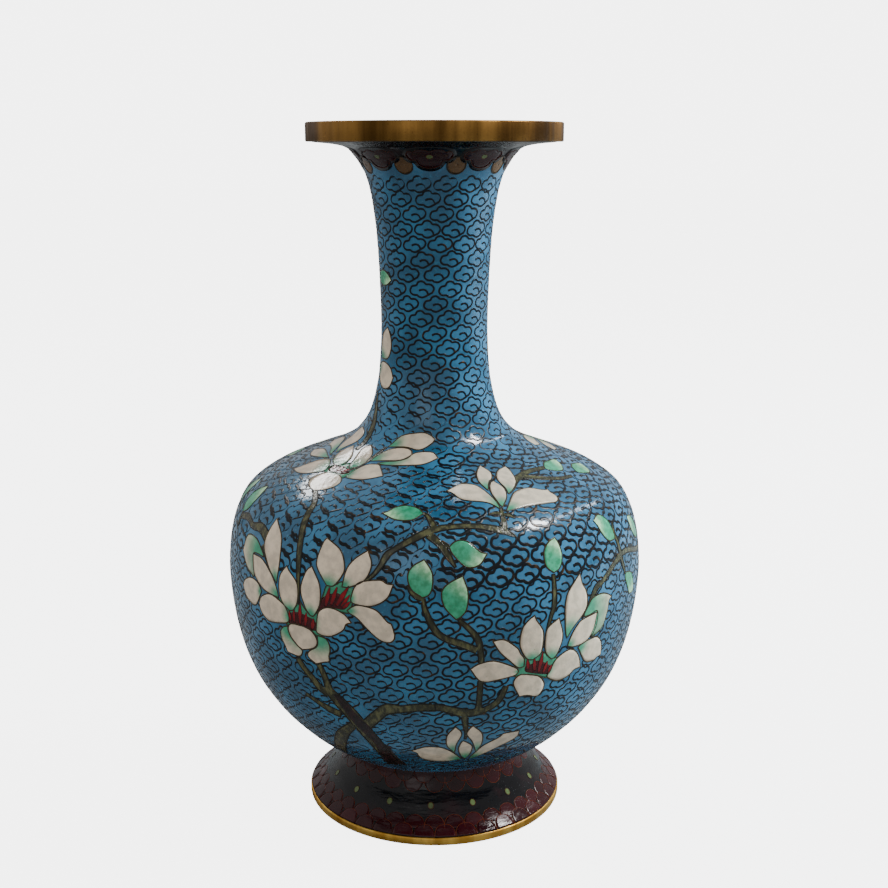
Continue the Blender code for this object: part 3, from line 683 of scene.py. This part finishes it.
# ---------------------------------------------------------------- materials
class Surface:
    """A material built up node by node."""

    def __init__(self, name, rough, metallic=0.0, specular=0.3):
        self.material = bpy.data.materials.new(name)
        self.material.use_nodes = True
        self.tree = self.material.node_tree
        self.shader = self.tree.nodes["Principled BSDF"]
        self.put("Roughness", rough)
        self.put("Metallic", metallic)
        self.put("Specular IOR Level", specular)
        self.place = self.tree.nodes.new("ShaderNodeTexCoord").outputs["Object"]

    def put(self, name, value):
        """Give an input of the shader a value or a socket."""
        if isinstance(value, bpy.types.NodeSocket):
            self.tree.links.new(value, self.shader.inputs[name])
        else:
            self.shader.inputs[name].default_value = value

    def tint(self):
        node = self.tree.nodes.new("ShaderNodeAttribute")
        node.attribute_name = "Tint"
        return node.outputs["Color"]

    def noise(self, scale, detail=4.0, stretch=(1, 1, 1)):
        """Noise with a scale per metre, from 0 to 1."""
        fit = self.tree.nodes.new("ShaderNodeMapping")
        fit.inputs["Scale"].default_value = stretch
        self.tree.links.new(self.place, fit.inputs["Vector"])
        node = self.tree.nodes.new("ShaderNodeTexNoise")
        node.inputs["Scale"].default_value = scale
        node.inputs["Detail"].default_value = detail
        self.tree.links.new(fit.outputs["Vector"], node.inputs["Vector"])
        return node.outputs["Fac"]

    def level(self, value, low, high, start=0.0, end=1.0):
        """A value eased from start to end between two levels."""
        node = self.tree.nodes.new("ShaderNodeMapRange")
        node.interpolation_type = "SMOOTHSTEP"
        self.tree.links.new(value, node.inputs["Value"])
        for key, number in (("From Min", low), ("From Max", high), ("To Min", start), ("To Max", end)):
            node.inputs[key].default_value = number
        return node.outputs["Result"]

    def mix(self, share, first, second, blend="MIX"):
        """Two colours mixed; each may be a colour, or a socket."""
        node = self.tree.nodes.new("ShaderNodeMix")
        node.data_type = "RGBA"
        node.blend_type = blend
        for index, value in ((0, share), (6, first), (7, second)):
            if isinstance(value, bpy.types.NodeSocket):
                self.tree.links.new(value, node.inputs[index])
            elif index:
                node.inputs[index].default_value = (*value, 1.0)
            else:
                node.inputs[index].default_value = value
        return node.outputs[2]

    def bump(self, height, distance, strength=1.0):
        node = self.tree.nodes.new("ShaderNodeBump")
        node.inputs["Distance"].default_value = distance
        node.inputs["Strength"].default_value = strength
        self.tree.links.new(height, node.inputs["Height"])
        self.tree.links.new(node.outputs["Normal"], self.shader.inputs["Normal"])


def ground_surface():
    """Blue enamel: cloudy, pitted and faintly uneven."""
    made = Surface("ground", 0.2, specular=0.45)
    color = made.mix(made.level(made.noise(90, 6), 0.35, 0.66), BLUE_LOW, BLUE_HIGH)
    color = made.mix(made.level(made.noise(1100, 4), 0.54, 0.76, 0, 0.3), color, BLUE_MILK)
    color = made.mix(made.level(made.noise(2600, 2), 0.68, 0.76, 0, 0.5), color, NAVY)
    made.put("Base Color", color)
    made.put("Roughness", made.level(made.noise(900, 3), 0.3, 0.7, 0.07, 0.17))
    made.bump(made.noise(300, 5), 0.00008)
    return made.material


def cell_surface(name, scale, dark, light):
    """Enamel of petals or leaves: its own tint, milky patches and small dark pits."""
    made = Surface(name, 0.12, specular=0.4)
    shade = made.mix(made.level(made.noise(scale, 6), 0.34, 0.66), dark, light)
    color = made.mix(1.0, made.tint(), shade, "MULTIPLY")
    color = made.mix(made.level(made.noise(3000, 2), 0.68, 0.76, 0, 0.55), color, UMBER)
    made.put("Base Color", color)
    made.bump(made.noise(600, 4), 0.0001)
    return made.material


def bark_surface():
    """Dark enamel of the branches, with paler olive streaks."""
    made = Surface("bark", 0.22, specular=0.35)
    streak = made.level(made.noise(700, 5, (1, 1, 0.4)), 0.42, 0.68)
    color = made.mix(streak, (0.35, 0.35, 0.35), (1.5, 1.45, 1.3))
    color = made.mix(1.0, made.tint(), color, "MULTIPLY")
    made.put("Base Color", color)
    made.bump(made.noise(800, 4), 0.00015)
    return made.material


def wire_surface():
    """Darkened wire with gold patches here and there: partly worn brass, partly painted glints."""
    made = Surface("wire", 0.3, specular=0.25)
    # Gold patches in the base colour and metallic, partly worn brass and partly painted glints.
    wear_and_glints = made.noise(420, 4)
    made.put("Base Color", made.mix(made.level(wear_and_glints, 0.58, 0.78, 0, 0.35), made.tint(), GOLD))
    made.put("Metallic", made.level(wear_and_glints, 0.58, 0.78, 0, 0.5))
    return made.material


def brass_surface(name, bright, dark, scale):
    """Old brass with streaks down it and a worn, wavy face."""
    made = Surface(name, 0.3, metallic=1.0)
    streak = made.level(made.noise(scale, 5, (1, 1, 0.06)), 0.36, 0.66)
    color = made.mix(streak, dark, bright)
    color = made.mix(made.level(made.noise(1400, 4), 0.6, 0.8, 0, 0.5), color, UMBER)
    made.put("Base Color", color)
    made.put("Roughness", made.level(made.noise(300, 4, (1, 1, 0.2)), 0.3, 0.7, 0.38, 0.58))
    made.bump(made.noise(260, 4, (1, 1, 0.2)), 0.0002)
    return made.material


def dark_surface():
    """Black and dark red enamel with a smoky red drift."""
    made = Surface("dark", 0.14, specular=0.3)
    drift = made.level(made.noise(110, 5), 0.5, 0.7, 0, 0.6)
    made.put("Base Color", made.mix(drift, made.tint(), SMOKE))
    made.put("Roughness", made.level(made.noise(500, 4, (0.5, 0.5, 2)), 0.4, 0.65, 0.12, 0.3))
    made.bump(made.noise(150, 4, (0.5, 0.5, 2)), 0.0006)
    return made.material


def lining_surface():
    """Plain blue-green enamel of the inside and the base."""
    made = Surface("lining", 0.3, specular=0.35)
    color = made.mix(made.level(made.noise(200, 5), 0.3, 0.7), LINING_LOW, LINING_HIGH)
    color = made.mix(made.level(made.noise(1800, 2), 0.66, 0.74, 0, 0.7), color, NAVY)
    made.put("Base Color", color)
    made.bump(made.noise(380, 4), 0.0003)
    return made.material


GROUND_COAT = ground_surface()
CELL = cell_surface("cell", 420, (0.8, 0.8, 0.8), (1.08, 1.06, 1.04))
LEAF = cell_surface("leaf", 700, (0.62, 0.74, 0.68), (1.34, 1.14, 1.2))
BARKED = bark_surface()
WIRE = wire_surface()
DARK = dark_surface()
LINED = lining_surface()
RIM_BRASS = brass_surface("rim_brass", srgb(162, 120, 62), srgb(84, 58, 26), 110)
FOOT_BRASS = brass_surface("foot_brass", srgb(236, 192, 96), srgb(190, 140, 56), 160)


# ---------------------------------------------------------------- blossoms, leaves and branches
FRONT_CELLS = [loop(*sides(patch, points, tip))
               for patch, cells in (*PETALS.values(), NECK_PETALS) for reach, tip, points in cells]
FRONT_CELLS += [loop(*sides(patch, points, tip)) for patch, tip, points in LEAVES.values()]
STRIPS = [loop(*ribbon(*strip)) for strips in BRANCHES.values() for strip in strips]


def lay_wires(name, turn):
    """Wires round every cell and along both edges of the branches."""
    made = Builder()
    for outline in FRONT_CELLS:
        wire(made, body, turn_by(outline, turn), True, PETAL_WIRE, WIRE_LIFT, OUTLINE)
    for index, strip in enumerate(STRIPS):
        free = outside(strip, FRONT_CELLS + STRIPS[:index] + STRIPS[index + 1:])
        parts = runs(strip, free, True)
        for part in parts if parts is not None else [strip]:
            wire(made, body, turn_by(part, turn), parts is None, BRANCH_WIRE, WIRE_LIFT, EDGE)
    for patch, threads, fill in STAMENS.values():
        for base, tip, width in threads:
            edge = loop(*filament(patch, base, tip, width))
            wire(made, body, turn_by(edge, turn), True, STAMEN_WIRE, STAMEN_LIFT + 0.02, NAVY)
    for patch, fill in HEARTS.values():
        edge = patch(spline(fill, closed=True))
        for part in runs(edge, outside(edge, FRONT_CELLS + STRIPS), True) or []:
            wire(made, body, turn_by(part, turn), False, HEART_WIRE, WIRE_LIFT, OUTLINE)
    return made.piece(name, WIRE, "copper")


def lay_cell(made, edges, turn, lift, tint):
    left, right = edges
    pad(made, body, turn_by(left, turn), turn_by(right, turn), lift, tint)


def lay_fill(made, patch, fill, turn, lift, color):
    blob(made, body, turn_by(patch(spline(fill, closed=True)), turn), lift, color)


def lay_petals(name, key, turn, *nodes):
    """One blossom: green heart, petals and stamens."""
    made = Builder()
    if key in HEARTS:
        lay_fill(made, *HEARTS[key], turn, HEART_LIFT, GREEN * 0.8)
    patch, cells = PETALS[key] if key in PETALS else NECK_PETALS
    for reach, tip, points in cells:
        lay_cell(made, sides(patch, points, tip), turn, CELL_LIFT, petal_tint(reach))
    if key in STAMENS:
        patch, threads, fill = STAMENS[key]
        lay_fill(made, patch, fill, turn, HEART_LIFT + 0.01, RED * 0.22)
        for base, tip, width in threads:
            lay_cell(made, filament(patch, base, tip, width), turn, STAMEN_LIFT, stamen_tint)
    return made.piece(name, CELL, "petal_enamel", *nodes)


def lay_leaf(name, key, turn, *nodes):
    made = Builder()
    patch, tip, points = LEAVES[key]
    lay_cell(made, sides(patch, points, tip), turn, CELL_LIFT, leaf_tint)
    return made.piece(name, LEAF, "leaf_enamel", *nodes)


def lay_branch(name, key, turn, *nodes):
    made = Builder()
    for strip in BRANCHES[key]:
        lay_cell(made, ribbon(*strip), turn, BRANCH_LIFT, plain_tint(BARK))
    if key == "low_branch":
        patch, tip, points = SHADOW
        lay_cell(made, sides(patch, points, tip), turn, BRANCH_LIFT + 0.015, plain_tint(PLUM))
    return made.piece(name, BARKED, "bark_enamel", *nodes)


def shown(node):
    """The node a piece stands for, if the part has one of that name."""
    return [node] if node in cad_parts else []


for key in list(PETALS) + ["neck_blossom"]:
    lay_petals(key + "_cells", key, 0.0, *shown(key))
    lay_petals("far_" + key + "_cells", key, 180.0, *shown("far_" + key))
for key in LEAVES:
    lay_leaf(key + "_cell", key, 0.0, *shown(key))
    lay_leaf("far_" + key + "_cell", key, 180.0)
for key in BRANCHES:
    lay_branch(key + "_cells", key, 0.0, *shown(key))
    lay_branch("far_" + key + "_cells", key, 180.0, *shown("far_" + key))
lay_wires("front_wires", 0.0)
lay_wires("far_wires", 180.0)


# ---------------------------------------------------------------- cloud scrolls
def wrapped(points, turn):
    """Angles brought round to within half a turn of a place."""
    moved = points.copy()
    moved[:, 0] = (moved[:, 0] - turn + 180.0) % 360.0 - 180.0
    return moved


def clear(points, taken):
    """Which points lie in no cell of the front or of the far side."""
    return outside(wrapped(points, 0), taken) & outside(wrapped(points, 180), taken)


def cloud_rows():
    """Number, place along the wall and rise of each row, from the foot to the collar."""
    rows = []
    row, s = -8, 67.0 - 8 * ROW
    while s < COLLAR - 0.5:
        tall = SHOULDER[0] < s < SHOULDER[1]
        if s > body.s[0] + 1.6:
            rows.append((row, s, SHOULDER_RISE if tall else 1.0))
        row, s = row + 1, s + (SHOULDER_ROW if tall else ROW)
    return rows


def lay_clouds():
    """Rows of cloud scrolls over the whole ground, cut short at the other cells."""
    taken = FRONT_CELLS + STRIPS + [patch(spline(fill, closed=True)) for patch, fill in HEARTS.values()]
    front_low, front_high, far_low, far_high = (Builder() for quarter in range(4))
    outline, curl = spline(CLOUD, closed=True, step=0.42), spline(CURL, step=0.42)
    turns = np.linspace(0, 6.1, 18)
    ring = np.stack([np.cos(turns), np.sin(turns)], -1) * 0.95
    for row, s, rise in cloud_rows():
        count = min(48, 2 * round(math.pi * float(body.radius(s)) / PITCH))
        size = SHOULDER_SIZE if rise > 1 else 1.0
        width = SHOULDER_WIRE if rise > 1 else CLOUD_WIRE
        start = 1.1 + 0.56 * (row - 2) + 180.0 / count * (row % 2)
        for index in range(count):
            angle = start + 360.0 / count * index + rng.normal(0, 0.16)
            place = Patch(angle, s + rng.normal(0, 0.07))
            tilt = rng.normal(0, 0.035)
            bend = np.array([[size, tilt * rise], [-tilt * size, rise]]) * rng.uniform(0.95, 1.04)
            if math.cos(math.radians(angle)) < 0:
                made = far_low if s < 100 else far_high
            else:
                made = front_low if s < 100 else front_high
            lines = [(place(outline @ bend), True), (place(curl @ bend), False)]
            free = [clear(line, taken) & (line[:, 1] < COLLAR + 2.0) & (line[:, 1] > body.s[0] + 0.3)
                    for line, closed in lines]
            if free[0].mean() < 0.42:
                for spot in ((0, 0), (-2, 0), (2, 0)):
                    if clear(place(ring * 1.5 + spot), taken).all():
                        wire(made, body, place(ring + spot), False, RING_WIRE, CLOUD_LIFT, NAVY)
                        break
                continue
            for (line, closed), keep in zip(lines, free):
                parts = runs(line, keep, closed)
                for part in parts if parts is not None else [line]:
                    whole = closed and parts is None
                    wire(made, body, part, whole, width, CLOUD_LIFT, NAVY, rise ** 2)
    for name, made in (("clouds_front_low", front_low), ("clouds_front_high", front_high),
                       ("clouds_far_low", far_low), ("clouds_far_high", far_high)):
        made.piece(name, WIRE, "copper")


lay_clouds()


# ---------------------------------------------------------------- ground, collar and foot
def lay_ground():
    """The blue coat, fine outside and coarser inside."""
    low, high = float(body.s[0]), DARK_EDGE
    outer = np.linspace(low, high, int(high - low))
    inner = np.linspace(high, low, int((high - low) / 4))
    along = np.concatenate([outer, inner])
    lift = np.concatenate([np.zeros(len(outer)), np.full(len(inner), -COAT)])
    made = Builder()
    made.add(*turned(lambda a: body(a, along, lift), len(along), 256), BLACK)
    made.piece("ground_coat", GROUND_COAT, "blue_enamel", "ground_enamel")


lay_ground()


def mirrored(half):
    """A closed outline from the half on its right, whose ends lie on the middle line."""
    return half + [(-x, y) for x, y in half[-2:0:-1]]


def lay_collar():
    """Dark collar with a ring of nine ruyi heads and a disc hung between each pair."""
    made = Builder()
    outer = np.linspace(DARK_EDGE + 0.02, THROAT_END, 28)
    along = np.concatenate([outer, outer[::-1]])
    lift = np.concatenate([np.zeros(28), np.full(28, -COAT)])
    made.add(*turned(lambda a: body(a, along, lift), len(along), 256), BLACK)
    wires = Builder()
    head = mirrored([(0, -0.9), (1.9, -0.6), (3.4, 0.3), (4.3, 1.5), (5.6, 1.7), (6.9, 2.6), (7.5, 4.0),
                     (7.2, 5.6), (6.2, 6.6), (3.4, 7.4), (0, 7.7)])
    core = mirrored([(0, 0.1), (1.6, 0.3), (2.9, 1.1), (3.8, 2.5), (5.2, 2.6), (6.2, 3.5), (6.5, 4.6),
                     (5.6, 5.6), (4.6, 5.2), (3.4, 6.0), (1.6, 6.0), (0, 5.4)])
    for index in range(9):
        angle = -3.4 + 40.0 * index
        place = Patch(angle, COLLAR + 1.0)
        hung = Patch(angle + 20.0, COLLAR + 2.0)(disc(24) * 2.7)
        blob(made, body, hung, 0.03, OCHRE)
        wire(wires, body, hung, True, DISC_WIRE, WIRE_LIFT, UMBER * 0.6)
        blob(made, body, place(spline(head, closed=True)), 0.06, BLACK)
        inner = place(spline(core, closed=True))
        blob(made, body, inner, 0.08, MAROON)
        wire(wires, body, inner, True, CORE_WIRE, DARK_WIRE_LIFT, RUST * 0.5)
        eye = place(disc(24, 0.95, 0.7) + (0, 3.7))
        blob(made, body, eye, 0.1, DOT)
        wire(wires, body, eye, True, FINE_WIRE, DARK_WIRE_LIFT, RUST * 0.6)
    made.piece("collar_cells", DARK, "dark_enamel", "collar_enamel")
    wires.piece("collar_wires", WIRE, "copper")


lay_collar()


def lay_scales(cells, wires, count, start, edge, height, width, lift, color):
    """A ring of rounded scales from one edge, hanging down or standing up."""
    t = np.linspace(0, 1, 12)
    half = width / 2 * np.sqrt(np.clip(1 - t**2.4, 0, 1))
    for index in range(count):
        place = Patch(start + 360.0 / count * index, edge, foot)
        left = place(np.stack([-half, height * t], -1))
        right = place(np.stack([half, height * t], -1))
        pad(cells, foot, left, right, lift, plain_tint(color * rng.uniform(0.6, 1.25)))
        wire(wires, foot, np.vstack([left, right[::-1][1:]]), False, SCALE_WIRE, lift + 0.03, RUST)


def lay_foot():
    """Dark foot with two rows of hanging scales, a ring of dots and two rows of standing scales."""
    cells, wires = Builder(), Builder()
    line = np.stack([foot.r, foot.z], -1)
    line = line[::3] if (len(line) - 1) % 3 == 0 else np.vstack([line[::3], line[-1:]])
    cells.add(*lathe(np.vstack([line, line[::-1] - (1.0, 0.0)]), 256), BLACK)
    top = float(foot.s[-1])
    lay_scales(cells, wires, 28, 0.0, top - 2.0, -4.6, 6.3, 0.03, MAROON)
    lay_scales(cells, wires, 28, 180.0 / 28, top - 0.1, -3.8, 6.2, 0.05, MAROON * 1.2)
    lay_scales(cells, wires, 38, 0.0, 2.6, 4.0, 6.0, 0.03, MAROON * 1.3)
    lay_scales(cells, wires, 38, 180.0 / 38, 0.1, 3.8, 6.1, 0.05, MAROON * 1.5)
    middle = float(np.interp(9.0, foot.z, foot.s))
    for index in range(16):
        dot = Patch(-1.9 + 22.5 * index, middle, foot)(disc(20, 0.85))
        blob(cells, foot, dot, 0.05, DOT * rng.uniform(0.6, 1.1))
        wire(wires, foot, dot, True, FINE_WIRE, WIRE_LIFT, RUST * 0.5)
    cells.piece("foot_cells", DARK, "dark_enamel", "foot_enamel")
    wires.piece("foot_wires", WIRE, "copper")


lay_foot()


def lathe_piece(name, outline, around, material, slot, node):
    made = Builder()
    made.add(*lathe(outline, around), BLACK)
    return made.piece(name, material, slot, node)


lathe_piece("mouth_band", [
    (36.1, 203.0), (36.38, 202.88), (36.5, 202.6), (36.5, 200.3), (36.5, 198.0), (36.38, 197.72),
    (36.1, 197.6), (34.9, 197.6), (34.9, 202.3), (33.3, 202.3), (33.3, 203.0)],
    256, RIM_BRASS, "brass", "mouth_rim")
lathe_piece("foot_band", [
    (38.4, 2.4), (38.68, 2.28), (38.8, 2.0), (38.8, 0.4), (38.68, 0.12), (38.4, 0.0),
    (34.6, 0.0), (34.6, 2.4)],
    256, FOOT_BRASS, "brass", "foot_rim")

# Counter enamel from the bottom of the bowl up to the lip, and over the base.
inside_line = np.linspace(float(body.s[0]) + 3.0, THROAT_END - 1.5, 170)
face = body(0.0, inside_line, -3.0)[:, (1, 2)] * (-1000, 1000)
back = body(0.0, inside_line[::4], -2.4)[:, (1, 2)] * (-1000, 1000)
lathe_piece("lining_coat", np.vstack([
    [(0.02, face[0][1])], face, [(32.7, 202.0), (33.3, 202.0)], back[::-1], [(0.02, back[0][1])]]),
    160, LINED, "lining_enamel", "inner_enamel")
under = [(0.02, 18.8), (23.8, 18.8), (23.8, 17.7)]
under += [(r - 3.0, z) for r, z in FOOT[::-1]]
under += [(r - 3.6, z) for r, z in FOOT]
under += [(23.2, 18.2), (0.02, 18.2)]
lathe_piece("base_coat", under, 128, LINED, "lining_enamel", "base_enamel")


# ---------------------------------------------------------------- studio
FLOOR_GREY, PALE_GLOW = 0.24, 5.0    # the floor as it is lit, and as it is seen
SKY, SKY_SEEN, SKY_MIRRORED = 0.95, 5.3, 0.6
CENTRE = (0, 0, 0.12)


def lamp(name, place, size, power, along=(0, 0, 1), diffuse=True, glossy=True):
    """A soft lamp of some width and height that faces the vase; its width runs along a direction."""
    data = bpy.data.lights.new(name, "AREA")
    data.shape = "RECTANGLE"
    data.size, data.size_y = size
    data.energy = power
    back = (Vector(place) - Vector(CENTRE)).normalized()
    over = Vector(along)
    over = (over - back * over.dot(back)).normalized()
    made = bpy.data.objects.new(name, data)
    bpy.context.scene.collection.objects.link(made)
    made.matrix_world = Matrix((over, back.cross(over), back)).transposed().to_4x4()
    made.location = place
    made.visible_diffuse = diffuse
    made.visible_glossy = glossy
    return made


def by_ray(tree, ray, low, high):
    """A number that is low for most rays of light and high for one kind."""
    seen = tree.nodes.new("ShaderNodeLightPath").outputs[ray]
    node = tree.nodes.new("ShaderNodeMapRange")
    node.inputs["To Min"].default_value = low
    node.inputs["To Max"].default_value = high
    tree.links.new(seen, node.inputs["Value"])
    return node.outputs["Result"]


bpy.ops.mesh.primitive_circle_add(vertices=64, radius=6.0, fill_type="NGON", location=(0, 0, -0.0005))
floor = bpy.context.object
floor.name = "studio_floor"
pale = bpy.data.materials.new("studio_floor")
pale.use_nodes = True
matte = pale.node_tree.nodes["Principled BSDF"]
matte.inputs["Base Color"].default_value = (FLOOR_GREY, FLOOR_GREY, FLOOR_GREY, 1)
matte.inputs["Roughness"].default_value = 0.9
matte.inputs["Specular IOR Level"].default_value = 0.0
matte.inputs["Emission Color"].default_value = (1, 1, 1, 1)
pale.node_tree.links.new(by_ray(pale.node_tree, "Is Camera Ray", 0.0, PALE_GLOW),
                         matte.inputs["Emission Strength"])
floor.data.materials.append(pale)

world = bpy.data.worlds.new("studio")
world.use_nodes = True
sky = world.node_tree.nodes["Background"]
dimmed = world.node_tree.nodes.new("ShaderNodeMath")
dimmed.operation = "MULTIPLY"
world.node_tree.links.new(by_ray(world.node_tree, "Is Camera Ray", SKY, SKY_SEEN), dimmed.inputs[0])
world.node_tree.links.new(by_ray(world.node_tree, "Is Glossy Ray", 1.0, SKY_MIRRORED), dimmed.inputs[1])
world.node_tree.links.new(dimmed.outputs["Value"], sky.inputs["Strength"])
sky.inputs["Color"].default_value = (1, 1, 1, 1)
bpy.context.scene.world = world

right = lamp("right_softbox", (1.05, 0.2, 0.5), (0.5, 0.5), 38.0, glossy=False)
right.data.color = (0.78, 0.93, 1.0)
lamp("left_softbox", (-1.1, 0.2, 0.45), (0.9, 0.9), 3.2, glossy=False)
lamp("back_strip", (-0.42, 0.7, 0.72), (0.32, 0.1), 1.8, (-0.17, -0.2, 0.15))
lamp("fill", (-0.4, -1.1, 0.6), (0.6, 0.6), 0.8)
lamp("strip", (0.56, 0.17, 0.76), (1.03, 0.03), 1.5, (0.19, 0.92, -0.41), diffuse=False)
lamp("window", (0.66, 0.0, 0.99), (0.3, 0.2), 14.0, (0, 1, 0), diffuse=False)

lens = bpy.data.cameras.new("camera")
lens.lens = 53.03
lens.sensor_width = 36.0
lens.shift_x = 0.0108
camera = bpy.data.objects.new("camera", lens)
bpy.context.scene.collection.objects.link(camera)
camera.location = (0.0, -0.38013, 0.19647)
camera.rotation_euler = (math.radians(90 - 12.838), 0.0, 0.0)
bpy.context.scene.camera = camera
